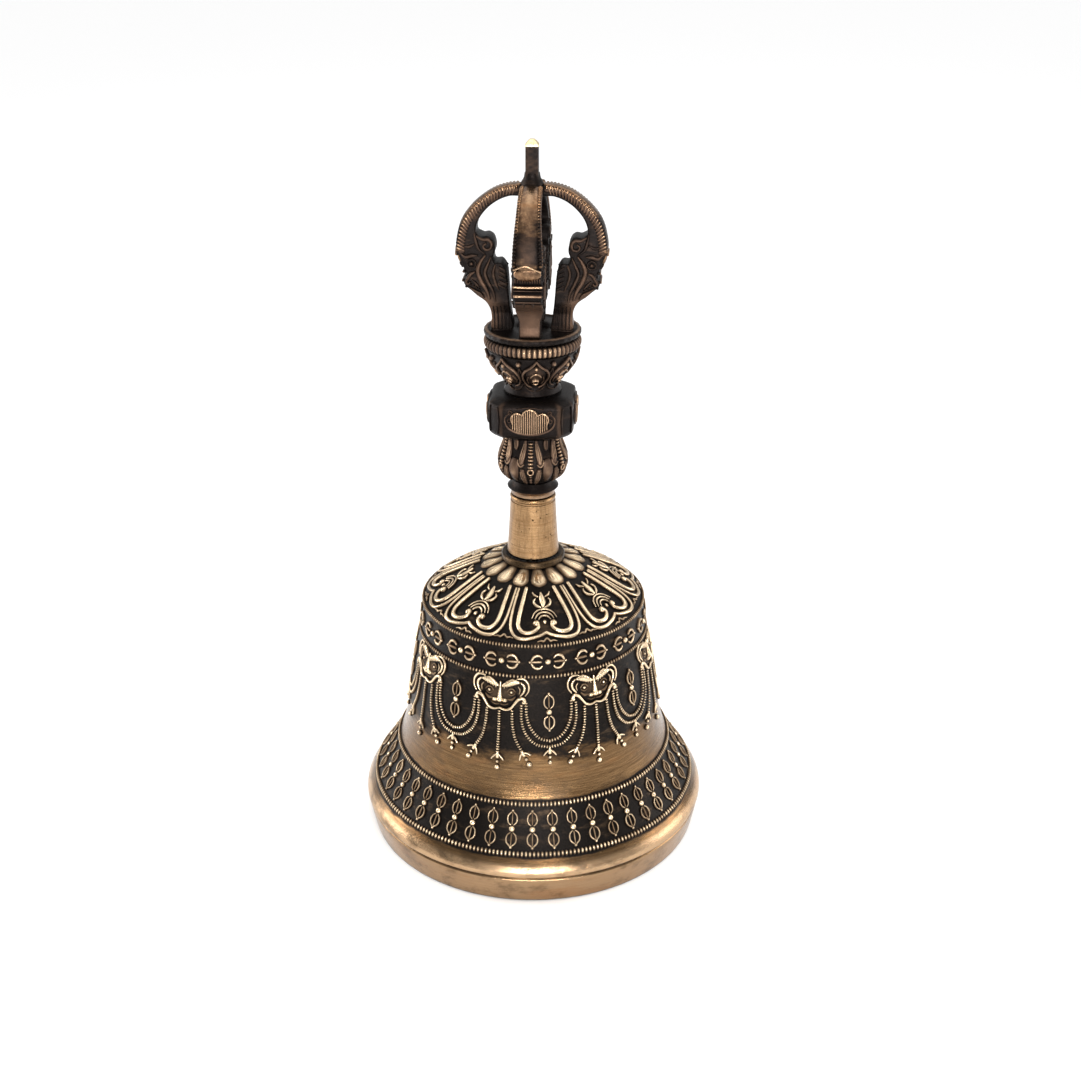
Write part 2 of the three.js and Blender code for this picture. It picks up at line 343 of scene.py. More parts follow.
class Nodes:
    """A short way to write a material's nodes."""

    def __init__(self, name):
        self.material = bpy.data.materials.new(name)
        self.material.use_nodes = True
        self.tree = self.material.node_tree
        self.shader = self.tree.nodes["Principled BSDF"]

    def put(self, socket, value):
        if isinstance(value, bpy.types.NodeSocket):
            self.tree.links.new(value, socket)
        else:
            socket.default_value = value

    def node(self, kind, inputs, output=0, **settings):
        """Adds a node with its settings and inputs, and returns one of its outputs."""
        node = self.tree.nodes.new("ShaderNode" + kind)
        for key, value in settings.items():
            setattr(node, key, value)
        for key, value in inputs.items():
            self.put(node.inputs[key], value)
        return node.outputs[output]

    def math(self, operation, a, b=0.0, clamp=False):
        return self.node("Math", {0: a, 1: b}, operation=operation, use_clamp=clamp)

    def times(self, a, b):
        return self.math("MULTIPLY", a, b)

    def plus(self, a, b):
        return self.math("ADD", a, b)

    def attribute(self, name):
        return self.node("Attribute", {}, "Fac", attribute_name=name)

    def noise(self, size, detail=3.0, rough=0.55, stretch=(1, 1, 1)):
        """Noise with features of about that size in millimetres, pressed together along each axis."""
        place = self.node("Mapping", {"Vector": self.node("TexCoord", {}, "Object"), "Scale": stretch})
        inputs = {"Vector": place, "Scale": 1 / (size * MM), "Detail": detail, "Roughness": rough}
        return self.node("TexNoise", inputs, "Fac")

    def ramp(self, value, low, high, out_low=0.0, out_high=1.0):
        """A smooth step from low to high."""
        inputs = {"Value": value, "From Min": low, "From Max": high, "To Min": out_low, "To Max": out_high}
        return self.node("MapRange", inputs, interpolation_type="SMOOTHSTEP")

    def mix(self, factor, a, b):
        a, b = ((*c, 1) if isinstance(c, tuple) else c for c in (a, b))
        return self.node("Mix", {0: factor, 6: a, 7: b}, 2, data_type="RGBA")

    def occlusion(self, distance):
        """1 in the open, falling towards 0 in a recess narrower than the distance in millimetres."""
        return self.node("AmbientOcclusion", {"Distance": distance * MM}, "AO", samples=6)

    def bump(self, height, depth, under=None):
        """A bump whose full height is depth millimetres, over the bump under it."""
        inputs = {"Height": height, "Distance": depth * MM, "Strength": 1.0}
        if under is not None:
            inputs["Normal"] = under
        return self.node("Bump", inputs)

    def finish(self, colour, roughness, metallic, normal):
        values = {"Base Color": colour, "Roughness": roughness, "Metallic": metallic, "Normal": normal}
        for key, value in values.items():
            self.put(self.shader.inputs[key], value)
        return self.material


def patinated(name, dark, middle, bright, rub=0.0, polished=None, lit=None, pale=None, grain=0.05,
              brush=(0.35, 0.35, 9.0)):
    """Old bronze: dark in the recesses, rubbed bright on what stands out, polished where it's marked, and
    pale where it's marked above 1: a paler band, and painted highlights.
    """
    n = Nodes(name)
    polished, lit, pale = polished or middle, lit or bright, pale or bright
    relief, polish = n.attribute("relief"), n.attribute("polish")
    blotch = n.noise(4.0, 4, 0.6)
    fine = n.noise(0.5, 5, 0.65)
    open_air = n.occlusion(1.2)
    # How far the surface is rubbed: raised parts first, with uneven borders.
    uneven = n.times(n.plus(blotch, -0.5), 0.5)
    raised = n.plus(n.plus(relief, rub), uneven)
    crevice = n.ramp(open_air, 0.25, 0.85)
    first = n.times(n.ramp(raised, 0.15, 0.75), crevice)
    second = n.times(n.ramp(raised, 0.62, 1.02), crevice)
    soil = n.mix(n.ramp(fine, 0.35, 0.7), dark, tuple(0.5 * c for c in dark))
    worn = n.ramp(n.noise(5.0, 6, 0.7, stretch=(0.7, 0.7, 2.2)), 0.52, 0.8)
    soil = n.mix(n.times(worn, 0.42), soil, middle)
    colour = n.mix(second, n.mix(first, soil, middle), bright)
    # Polished bands show fine brushed lines, and the palest parts are those marked above 1: the paler rim,
    # and the painted highlights on the lip's crest and down the prongs' spines.
    lines = n.noise(2.6, 6, 0.7, stretch=brush)
    gold = n.mix(n.ramp(lines, 0.3, 0.75), polished, lit)
    gold = n.mix(n.ramp(polish, 1.05, 2.0), gold, pale)
    tarnish = n.ramp(n.noise(7.0, 6, 0.68, stretch=(0.8, 0.8, 1.3)), 0.45, 0.68)
    gold = n.mix(n.times(tarnish, 0.72), gold, tuple(0.55 * c for c in middle))
    ruddy = n.ramp(n.noise(9.0, 4, 0.6, stretch=(0.6, 0.6, 2.5)), 0.5, 0.7)
    gold = n.mix(n.times(ruddy, 0.35), gold, (0.3, 0.14, 0.055))
    smoke = n.noise(5.0, 6, 0.66, stretch=(0.7, 0.7, 1.6))
    edge = n.plus(polish, n.times(n.plus(smoke, -0.5), 1.7))
    shine = n.times(n.ramp(edge, 0.22, 0.85), n.ramp(open_air, 0.15, 0.6))
    colour = n.mix(shine, colour, gold)
    rubbed = n.math("MAXIMUM", second, shine, True)
    roughness = n.ramp(rubbed, 0, 1, 0.44, 0.23)
    roughness = n.plus(roughness, n.times(n.plus(fine, -0.5), 0.22))
    metallic = n.ramp(rubbed, 0, 0.6, 0.72, 1.0)
    n.shader.inputs["Specular IOR Level"].default_value = 0.2
    cast = n.bump(fine, grain)
    brushed = n.bump(lines, 0.03, cast)
    return n.finish(colour, roughness, metallic, brushed)


def turned_brass(name, base, pale, dull):
    """Lathe-turned brass with fine lines round it, upright wear marks, pits and a little tarnish."""
    n = Nodes(name)
    lines = n.noise(1.4, 6, 0.7, stretch=(0.12, 0.12, 8.0))
    smudge = n.noise(3.0, 5, 0.6)
    upright = n.noise(1.1, 4, 0.6, stretch=(1.6, 1.6, 0.16))
    pits = n.ramp(n.noise(0.85, 2, 0.4), 0.69, 0.73)
    colour = n.mix(n.ramp(lines, 0.32, 0.7), base, pale)
    colour = n.mix(n.times(n.ramp(smudge, 0.5, 0.8), 0.5), colour, dull)
    colour = n.mix(n.times(n.ramp(upright, 0.48, 0.62), 0.4), colour, dull)
    colour = n.mix(pits, colour, tuple(0.25 * c for c in dull))
    # Dirt and painted shade: the colour darkens in recesses narrower than a millimetre, by the ambient
    # occlusion there.
    recess_dirt_and_shade = n.math("SUBTRACT", 1.0, n.ramp(n.occlusion(1.0), 0.3, 0.9), True)
    colour = n.mix(recess_dirt_and_shade, colour, tuple(0.3 * c for c in dull))
    roughness = n.ramp(n.noise(0.6, 4), 0.3, 0.7, 0.24, 0.4)
    return n.finish(colour, roughness, 1.0, n.bump(lines, 0.03))


def worn_steel(name, base, rust):
    """Steel with spots of rust."""
    n = Nodes(name)
    spots = n.ramp(n.noise(1.2, 6, 0.65), 0.52, 0.68)
    colour = n.mix(spots, base, rust)
    roughness = n.ramp(spots, 0, 1, 0.35, 0.7)
    metallic = n.ramp(spots, 0, 1, 1.0, 0.4)
    return n.finish(colour, roughness, metallic, n.bump(n.noise(0.3, 4), 0.02))


BELL = patinated("bell_bronze", dark=(0.009, 0.0066, 0.0052), middle=(0.16, 0.1, 0.056),
                 bright=(0.8, 0.62, 0.41), polished=(0.1, 0.055, 0.024), lit=(0.24, 0.143, 0.068),
                 pale=(0.48, 0.315, 0.18))
HANDLE = patinated("handle_bronze", dark=(0.009, 0.006, 0.005), middle=(0.088, 0.052, 0.034),
                   bright=(0.42, 0.275, 0.17))
PRONG = patinated("prong_bronze", dark=(0.009, 0.006, 0.005), middle=(0.11, 0.063, 0.04),
                  bright=(0.44, 0.285, 0.17), polished=(0.12, 0.064, 0.035), lit=(0.34, 0.205, 0.115),
                  brush=(3.0, 3.0, 0.5))
INSIDE = patinated("bell_inside", dark=(0.05, 0.035, 0.025), middle=(0.1, 0.07, 0.045),
                   bright=(0.3, 0.2, 0.12), rub=0.35, grain=0.12)
TIP = turned_brass("worn_tip", (0.85, 0.68, 0.34), (0.98, 0.86, 0.58), (0.6, 0.42, 0.18))
NECK = turned_brass("neck_brass", (0.225, 0.125, 0.055), (0.36, 0.225, 0.115), (0.12, 0.066, 0.03))
FLANGE = turned_brass("flange_brass", (0.03, 0.019, 0.011), (0.1, 0.063, 0.033), (0.014, 0.01, 0.007))
STEEL = worn_steel("fixing_steel", (0.42, 0.41, 0.39), (0.12, 0.065, 0.035))
STRIKER = turned_brass("striker_brass", (0.4, 0.27, 0.13), (0.6, 0.43, 0.22), (0.16, 0.1, 0.06))


# ---- the bell's casting ----

CROWN_TOP = 72.7
SHOULDER_Z, BAND_LOW_Z, FENCE_TOP_Z, FENCE_LOW_Z = 62.5, 54.85, 23.1, 13.0
DOME_LINE = [(8.6, CROWN_TOP - 0.4), (11.5, 71.35), (15, 69.85), (19, 67.8), (22.4, 65.95), (25.1, 64.35),
             (26.8, 63.2), (27.5, SHOULDER_Z)]
COLUMNS = 240  # of the casting's mesh
DOME_EDGE = 27.45  # how far out the shoulder's ornament can reach
WALL_LINE = [(28.35, BAND_LOW_Z), (30, 47), (31.2, 39.5), (32.3, 32.5), (33.4, 27.5), (34.9, FENCE_TOP_Z),
             (37.9, 17.8), (41.2, FENCE_LOW_Z), (43.2, 10.4), (43.9, 9.0), (44, 8.3)]
RIM_LINE = [(43.9, 8.0), (43.2, 7.75), (43.1, 7.5), (43.2, 7.25), (43.6, 7.0), (43.6, 6.8)]
OUTSIDE = Profile(chain(([(3, CROWN_TOP), (7.9, CROWN_TOP)], 0), (DOME_LINE, 0.25),
                        ([(27.5, SHOULDER_Z), (27.9, 58.7), (28.35, BAND_LOW_Z)], 0.5), (WALL_LINE, 0.35),
                        (RIM_LINE, 0), ([(43.55, 6.0), (43.0, 3.2), (42.5, 0.8)], 0.5),
                        ([(42.35, 0.3), (42.0, 0.04), (41.7, 0)], 0)))
INSIDE_LINE = [(38.2, 0), (37.4, 9), (35, 16), (31.6, 22.5), (30.2, 28), (28.6, 37), (27.2, 46),
               (25.6, 54.8), (24.4, 60.2), (22.2, 63.6), (18.5, 66.3), (14, 68.3), (9, 69.6)]


def smoothstep(value, low, high):
    t = np.clip((value - low) / (high - low), 0, 1)
    return t * t * (3 - 2 * t)


def bell_polish_and_highlight(z):
    """Where the outside is polished: the waist under the garlands, the lip with a painted highlight along
    its crest, and the paler rim under it.
    """
    waist = smoothstep(-z, -39.5, -29.5) * smoothstep(z, FENCE_TOP_Z + 0.3, FENCE_TOP_Z + 1.6)
    lip = smoothstep(-z, -(FENCE_LOW_Z - 0.3), -(FENCE_LOW_Z - 1.6))
    # A band along the lip's crest is marked up to 2, which paints a highlight there.
    painted_lip_highlight = smoothstep(z, 7.7, 8.1) * smoothstep(-z, -11.8, -9.8)
    rim = smoothstep(-z, -7.4, -7.0)
    groove = np.exp(-((z - 7.5) / 0.22) ** 2)
    return np.maximum(waist, lip + painted_lip_highlight + 0.55 * rim) - 0.9 * groove


def bell_casting():
    """The outside as one skin, and the inside as another, which meet at the rim and in the crown's hole."""
    out = np.stack([OUTSIDE.r, OUTSIDE.z], 1)
    inner = chain((INSIDE_LINE, 0.9), ([(3, 69.6), (3, CROWN_TOP)], 0))
    builder = Builder()
    section = Profile(np.vstack([out, inner]))
    split = len(out)

    def polish(angle, r, z):
        return np.where(np.arange(len(r))[:, None] < split, bell_polish_and_highlight(z), 0.0)

    spun(builder, section, COLUMNS, polish=polish)
    mesh = show("bell_casting", builder, BELL, replaces=["bell_body"]).data
    mesh.materials.append(INSIDE)
    inside = np.repeat(np.arange(len(section.s) - 1), COLUMNS) >= split - 1
    mesh.polygons.foreach_set("material_index", inside.astype(np.int32))
    mesh.update()


def on_wall(centre, start_z, radius):
    """Wraps flat shapes on the wall: x runs round from the centre angle, y runs down from a height."""
    start = OUTSIDE.run_at_height(start_z)
    return lambda x, y, h: OUTSIDE.place(centre + x / radius, start + y, h)


def on_dome(centre):
    """Wraps flat shapes on the dome: x runs across, y runs out from the axis, as seen from above."""

    def wrap(x, y, h):
        run = OUTSIDE.run_at_radius(np.minimum(np.hypot(x, y), DOME_EDGE))
        return OUTSIDE.place(centre + np.arctan2(x, y), run, h)

    return wrap


# ---- ornament shapes ----

def vajra(ground, x, y, turn, length, width, fine, height=0.6, opened=False):
    """A small two-ended thunderbolt: a ball, and a caged prong on either side of it."""
    place = dict(move=(x, y), turn=turn, scale=(length, width))
    arc = [(0.95, 0.45), (1.5, 1.2), (2.45, 1.5), (3.4, 1.25), (4.15, 0.35)]
    if opened:
        arc = [(1.5, 0.95), (1.9, 1.35), (2.7, 1.5), (3.5, 1.2), (4.1, 0.4)]
    tongue = [(1.75 if opened else 1.2, 0), (2.6, 0), (4.0, 0)]
    ground.dot(0, 0, 0.85 / length, 0.85 / width, height * 1.4, place=place)
    for side in (1, -1):
        claw = [(u, side * v) for u, v in arc]
        ground.ridges(claw, [fine * 0.8, fine * 1.3, fine], height, across=5, place=place)
    ground.ridges(tongue, [fine, fine * 1.2, fine], height * 0.85, across=5, place=place)
    ground.dots(4.5, 0, 0.45, 0.4 / width, height * 1.1, place=place)


def big_petal(ground):
    """A shoulder petal with a thin outer and a thick inner outline that ends in volutes."""
    outer = [(5.0, 12.9), (6.8, 17.4), (7.85, 20.6), (8.1, 22.9), (7.3, 24.8), (5.3, 25.7), (2.9, 25.7),
             (1.2, 25.35), (0, 24.8)]
    inner = [(3.3, 13.2), (5.0, 17.8), (6.05, 20.8), (6.3, 22.6), (5.6, 24.0), (4.0, 24.55), (2.5, 24.2),
             (1.6, 23.3), (1.75, 22.5)]
    ground.ridges(outer, [0.7, 0.85, 0.9, 0.85], 0.62)
    ground.ridges(inner, [1.0, 1.15, 1.2, 1.15, 1.1, 0.9], 0.75)
    ground.dots(2.05, 22.5, 0.95, 0.85, 0.85)


def petal_filling(ground):
    """Nested crescents under a leafy bud, inside a shoulder petal."""
    for reach, size in ((3.1, 0.5), (2.3, 0.6), (1.45, 0.55)):
        turns = np.radians([-72, -45, -15, 15, 45, 72])
        arc = [(reach * math.sin(t), 22.2 - reach * math.cos(t)) for t in turns]
        ground.ridge(arc, [0.25, size, size, size, 0.25], 0.6)
    ground.dot(0, 22.3, 0.5, 0.6, 0.7)
    ground.ridge([(0, 18.6), (0.15, 17.3), (0, 15.9), (-0.1, 14.9)], [0.6, 1.7, 1.5, 0.5], 0.75)
    ground.ridges([(0.6, 18.7), (1.6, 18.0), (2.0, 17.0), (1.6, 16.4)], [0.5, 0.85, 0.7, 0.4], 0.65)
    ground.ridges([(0.9, 15.9), (1.7, 15.3), (2.0, 14.6)], [0.4, 0.7, 0.3], 0.6)


def small_petal(ground):
    """A tongue-shaped petal of the ring round the neck."""
    ground.ridge([(0, 8.2), (0, 9.7), (0, 11.1)], [2.6, 3.4, 4.1], [0.4, 0.5, 0.55], across=10)
    ground.ridge([(0, 8.4), (0, 10.2), (0, 12.0)], [0.3, 0.6, 0.4], [0.5, 0.68, 0.64], across=5)
    ground.ridges([(0.8, 8.8), (1.0, 10.3), (1.15, 11.9)], [0.2, 0.4, 0.2], [0.42, 0.58, 0.55], across=4)


def ripple(ground, y):
    """A little cloud-like wave on the edge of the shoulder."""
    ground.ridge([(-2.3, y + 0.2), (-1.4, y + 0.05), (-0.8, y + 0.2), (0, y - 0.4), (0.8, y + 0.2),
                  (1.4, y + 0.05), (2.3, y + 0.2)], [0.25, 0.5, 0.6, 0.5, 0.25], 0.5)


def mask(ground):
    """A garland-bearing beast's mask: brows, eyes, nose, horns, and a lip that curls at its ends."""
    ridge, ridges, dot, dots = ground.ridge, ground.ridges, ground.dot, ground.dots
    dot(0, 4.9, 4.5, 3.5, 0.24, around=20)
    ridges([(0.7, 2.55), (1.9, 2.1), (3.4, 1.5), (4.9, 1.5)], [0.8, 1.7, 1.9, 0.8], 0.75, across=8)
    for k in range(5):
        x, y = 1.2 + 0.75 * k, 2.3 - 0.26 * k
        ridges([(x - 0.1, y + 0.75), (x + 0.2, y - 0.7)], 0.2, 0.88, across=4)
    ridges([(1.9, 4.0), (2.5, 3.3), (3.4, 3.25), (4.1, 3.9)], [0.3, 0.45, 0.3], 0.42)
    ridges([(2.1, 4.5), (3.0, 4.85), (3.9, 4.4)], [0.3, 0.5, 0.3], 0.36)
    dots(3.0, 4.05, 0.5, 0.46, 0.62)
    ridge([(0, 1.7), (0, 3.4), (0, 5.4)], [0.6, 0.8, 1.5], [0.65, 0.8, 1.1], across=8)
    dot(0, 6.0, 1.05, 0.8, 1.25, around=12)
    dots(1.3, 6.15, 0.85, 0.6, 0.95)
    ridges([(2.0, 5.9), (3.1, 5.9), (4.0, 5.2)], [0.4, 0.9, 0.4], 0.4)
    ridges([(0, 8.1), (1.5, 8.5), (2.9, 8.1), (3.9, 6.9), (4.9, 5.75), (6.0, 5.4), (6.6, 6.1)],
           [0.5, 0.6, 0.75, 0.8, 0.95, 0.9], 0.8)
    dots(6.3, 6.4, 0.62, 0.6, 0.85)
    ridges([(0.2, 7.2), (1.2, 7.35), (2.2, 7.0)], [0.3, 0.4, 0.3], 0.4)
    ridges([(4.6, 0.6), (6.3, 0.6), (7.5, 1.9), (7.5, 3.5), (6.7, 4.7)], [0.5, 0.7, 0.7, 0.6, 0.4], 0.6)
    ridges([(5.5, 1.5), (6.4, 2.4), (6.3, 3.7), (5.4, 4.8)], [0.5, 0.8, 0.75, 0.4], 0.65)
    ridges([(4.8, 2.6), (5.3, 3.3), (5.1, 4.3)], [0.4, 0.55, 0.4], 0.5)


def tassel(ground, x, y, lean, mirror=False, balls=2):
    """A flared bead cap and its hanging beads, leaning by an angle."""
    side = -1 if mirror else 1
    place = dict(move=(side * x, y), turn=-side * lean, mirror=mirror)
    ground.ridge([(0, -0.4), (0, 0.7)], [0.7, 1.1], 0.65, place=place)
    for flare in (1, -1):
        path = [(flare * 0.1, 0.0), (flare * 0.85, 0.55), (flare * 1.5, 1.35)]
        ground.ridge(path, [0.5, 0.6, 0.45], 0.6, place=place)
    ground.dot(0, 1.95, 0.5, 0.5, 0.65, place=place)
    if balls > 1:
        ground.dot(0, 3.45, 0.72, 0.8, 0.85, place=place)


def garland(ground, half):
    """The strings under a mask, and the double festoon to the next mask, half a sector away."""
    bead_string(ground, [(0, 9.0), (0, 14.5), (-0.1, 19.6)])
    tassel(ground, -0.1, 20.2, 0.0)
    for mirror in (False, True):
        bead_string(ground, [(3.3, 8.7), (3.55, 12.5), (4.35, 16.0), (5.9, 18.9)], mirror)
        tassel(ground, 6.1, 19.3, 0.5, mirror)
        near = [(half - 5.9, 6.6), (half - 5.7, 10), (half - 4.6, 13.1), (half - 2.5, 15.5), (half, 16.3)]
        far = [(half - 7.1, 7.2), (half - 7.0, 11), (half - 5.9, 14.5), (half - 3.3, 17.1), (half, 17.9)]
        for path in (near, far):
            bead_string(ground, path, mirror)
    tassel(ground, half, 18.6, 0.0, balls=1)
    ground.dot(half, 21.9, 0.55, 0.7, 0.75)


def bead_row(builder, z, count, tall, wide, height):
    """A row of upright beads round the bell."""
    run = OUTSIDE.run_at_height(z)
    ground = Ground(builder, lambda x, y, h: OUTSIDE.place(x, run + y, h), 0.6)
    radius = float(np.interp(run, OUTSIDE.s, OUTSIDE.r))
    for k in range(count):
        points, quads, tris = bead(0, 0, wide, tall, height, around=8)
        points[:, 0] = points[:, 0] / radius + k * TURN / count
        ground.put((points, quads, tris))


WALL_SPAN = 25.6  # flat width of one sector of the garland design
WALL_RADIUS = WALL_SPAN / SECTOR


def bell_ornament():
    """The relief on the bell, as five pieces: each sector of the pattern repeats round the axis."""
    names = ("shoulder_petals", "thunderbolt_band", "mask_garlands", "thunderbolt_fence", "bead_rows")
    builders = [Builder() for name in names]
    shoulder, band, garlands, fence, rows = builders
    for k in range(SECTORS):
        centre = PATTERN + k * SECTOR
        dome = Ground(shoulder, on_dome(centre), 0.62)
        big_petal(dome)
        petal_filling(dome)
        ripple(dome, 26.5)
        for turn in (0, 0.5):
            small_petal(Ground(shoulder, on_dome(centre + turn * SECTOR), 0.52))
        ripple(Ground(shoulder, on_dome(centre + SECTOR / 2), 0.62), 25.9)
        for turn in (0, 0.5):
            place = on_wall(centre + turn * SECTOR, SHOULDER_Z, 28.0)
            vajra(Ground(band, place, 0.66), 0, 3.9, 0.0, 0.94, 1.1, 0.64, opened=True)
        wall = Ground(garlands, on_wall(centre + SECTOR / 2, BAND_LOW_Z, WALL_RADIUS), 0.6)
        mask(wall)
        garland(wall, WALL_SPAN / 2)
        middle = Ground(garlands, on_wall(centre, BAND_LOW_Z, WALL_RADIUS), 0.66)
        vajra(middle, 0, 8.9, math.pi / 2, 1.03, 0.85, 0.5)
    fence_run = OUTSIDE.run_at_height(FENCE_LOW_Z) - OUTSIDE.run_at_height(FENCE_TOP_Z)
    for k in range(6 * SECTORS):
        place = on_wall(PATTERN + k * SECTOR / 6, FENCE_TOP_Z, 38.0)
        vajra(Ground(fence, place, 0.6), 0, fence_run / 2 + 0.1, math.pi / 2, 0.98, 0.8, 0.46, 0.5)
    bead_row(rows, SHOULDER_Z, 224, 0.55, 0.33, 0.5)
    bead_row(rows, BAND_LOW_Z, 208, 0.62, 0.33, 0.5)
    bead_row(rows, FENCE_TOP_Z, 232, 0.78, 0.38, 0.55)
    bead_row(rows, FENCE_LOW_Z, 264, 0.78, 0.4, 0.55)
    for name, builder in zip(names, builders):
        show(name, builder, BELL, replaces=())


# ---- the handle ----

LOTUS_TURN = math.radians(8.5)
KNOP_LINE = [(4.9, 94.4), (6.2, 95.4), (7.4, 96.7), (8.0, 98.6), (7.95, 100.2), (7.4, 102), (6.7, 104),
             (6.4, 106.2)]
CUP_LINE = [(6.9, 116.9), (6.5, 118.0), (6.25, 119.2), (7.1, 121.2), (8.5, 122.8), (9.5, 124.2),
            (10.2, 125.8), (10.6, 127.2)]
PRONG_ANGLES = {"prong_front": 0, "prong_right": 90, "prong_back": 180, "prong_left": 270}


def on_side(line, centre, radius):
    """Wraps flat shapes on a turned piece: x runs round from the centre angle, y is the height."""
    face = Profile(smooth_path(line[::-1], 0.3))
    return lambda x, y, h: face.place(centre + x / radius, np.interp(-y, -face.z, face.s), h)


def on_flat(angle, reach):
    """Wraps flat shapes on an upright plane at that reach from the axis: x runs across, y is the height."""
    c, s = math.cos(angle), math.sin(angle)
    return lambda x, y, h: np.stack([x * c + (reach + h) * s, x * s - (reach + h) * c, y], -1)


def neck():
    """The flange on the crown, the long brass sleeve with a groove near its top, and the collar."""
    turned_piece("neck_flange", [(7.0, 73.0), (7.8, 73.1), (7.8, 74.3), (7.5, 74.6), (6.9, 74.55),
                                 (6.6, 74.3)], FLANGE, NECK_BORE, 96, sharp=50)
    turned_piece("neck_sleeve", [(6.1, 74.9), (6.35, 75.1), (6.3, 75.9), (6.18, 77.4), (6.0, 80),
                                 (5.82, 83), (5.66, 86), (5.54, 88.2), (5.5, 88.6), (5.32, 88.7),
                                 (5.3, 89.1), (5.48, 89.2), (5.6, 89.6), (5.5, 90.0), (5.2, 90.2)], NECK,
                 NECK_BORE, 128, sharp=50)
    turned_piece("neck_collar", [(4.7, 90.5), (5.3, 90.6), (5.35, 91.3), (5.6, 91.8), (6.15, 92.2),
                                 (6.2, 92.4), (5.75, 92.9), (5.2, 93.5), (4.9, 94.1)], HANDLE, ROD_BORE,
                 96, sharp=50, relief=lambda a, r, z: 0.8 * smoothstep(-z, -92.5, -92.0))


def knop():
    """The vase knop: six beaded straps, with drooping leaves and plain petals between them."""
    builder = Builder()
    spun(builder, bored(smooth_path(KNOP_LINE, 0.35), ROD_BORE), 120)
    count = 6
    for k in range(count):
        ground = Ground(builder, on_side(KNOP_LINE, k * TURN / count, 8.0), 0.75)
        for z in np.arange(99.95, 105.9, 0.78):
            ground.dot(0, z, 0.85, 0.4, 0.8, around=10)
        ground.put(hoop(0, 98.85, 0.62, 0.62, 0.45, 0.75))
        for z in (97.6, 96.7, 95.9):
            ground.dot(0, z, 0.5, 0.42, 0.55, around=8)
        ground.ridges([(1.5, 105.8), (1.8, 103.9), (2.15, 102.1), (2.3, 100.9)], [1.1, 1.6, 1.9, 1.5],
                      [0.45, 0.5, 0.55], across=8)
        ground.ridges([(1.6, 100.5), (2.3, 100.0), (3.0, 100.6), (3.1, 101.4)], [0.4, 0.6, 0.6, 0.3], 0.6)
        for shift in (-0.45, 0.0, 0.45):
            ground.ridges([(1.5 + shift * 0.6, 105.4), (1.85 + shift, 103.6), (2.2 + shift, 101.4)], 0.22,
                          0.68, across=4)
        ground.ridges([(1.3, 95.6), (1.75, 97.3), (1.95, 98.9)], [1.0, 1.7, 1.3], 0.5, across=8)
        for shift in (-0.4, 0.0, 0.4):
            ground.ridges([(1.35 + shift * 0.7, 95.9), (1.75 + shift, 97.4), (1.95 + shift, 98.8)], 0.2,
                          0.64, across=4)
        ground.ridge([(4.19, 96.2), (4.19, 98.6), (4.19, 100.6)], [1.6, 3.0, 2.6], [0.3, 0.55, 0.5],
                     across=10)
        ground.ridge([(4.19, 105.9), (4.19, 104.8), (4.19, 103.9)], [1.2, 1.7, 0.9], 0.45)
        ground.ridges([(3.75, 105.9), (3.75, 104.9), (3.95, 103.9)], 0.2, 0.62, across=4)
    show("vase_knop", builder, HANDLE)


def block():
    """The square block: cut-back corners, and on each side a striped three-lobed plaque in an oval."""
    builder = Builder()

    def reach(angle, r, z):
        c, s = np.abs(np.cos(angle)), np.abs(np.sin(angle))
        cut = 2 * r - 3.0
        return ((c / r) ** 26 + (s / r) ** 26 + ((c + s) / cut) ** 26) ** (-1 / 26)

    outline = [(6.7, 106.5), (9.2, 107.6), (9.75, 108.2), (9.97, 108.8), (10, 109.3), (10, 110.5),
               (10, 112), (10, 113.5), (10, 115.0), (9.9, 115.45), (9.6, 115.8), (8.4, 116.5),
               (6.5, 116.6)]

    def edge(angle, r, z):
        near_corner = np.abs(np.abs(np.sin(2 * angle)) - 0.94)
        return 0.28 * (1 - smoothstep(near_corner, 0.01, 0.05)) * (r > 9) + 0.14

    spun(builder, bored(outline, ROD_BORE), 240, reach=reach, relief=edge)
    for angle in PRONG_ANGLES.values():
        ground = Ground(builder, on_flat(math.radians(angle), 10.0), 0.7)
        turns = np.radians([-128, -100, -60, -20, 20, 60, 100, 128])
        oval = [(5.9 * math.sin(t), 112.3 - 3.25 * math.cos(t)) for t in turns]
        ground.ridge(oval, [0.35, 0.7, 0.85, 0.7, 0.35], [0.3, 0.5, 0.5, 0.3])
        for x in np.arange(-3.96, 4.0, 0.495):
            lobe = 2.05 * math.sqrt(max(0, 1 - (x / 1.75) ** 2)) if abs(x) < 1.7 else 0
            wing = 1.0 * math.sqrt(max(0, 1 - ((abs(x) - 2.9) / 1.45) ** 2))
            top = 113.1 + max(lobe, wing)
            foot = 109.2 + 0.08 * x * x
            ground.ridge([(x, foot), (x, (foot + top) / 2), (x, top)], 0.46, 0.66, across=5)
        ground.dot(0, 111.5, 4.5, 2.7, 0.42, around=24)
        crown = [(-1.8, 113.8), (-1.1, 114.8), (0, 115.2), (1.1, 114.8), (1.8, 113.8)]
        ground.ridge(crown, 0.5, 0.8, across=5)
        ground.ridges([(1.9, 113.9), (2.9, 114.3), (3.9, 113.9), (4.35, 112.9), (3.95, 111.6)], 0.45, 0.75,
                      across=5)
        for x, y in ((4.75, 112.4), (4.6, 114.3)):
            ground.both(hoop(x, y, 0.42, 0.5, 0.3, 0.35))
        ground.ridge([(-3.2, 115.2), (0, 115.55), (3.2, 115.2)], [0.2, 0.4, 0.2], 0.3)
    for angle in (45, 135, 225, 315):
        ground = Ground(builder, on_flat(math.radians(angle), 17 / math.sqrt(2)), 0.75)
        ground.ridges([(1.35, 108.9), (1.6, 112), (1.35, 115.2)], [0.25, 0.45, 0.25], 0.22)
    show("handle_block", builder, HANDLE)


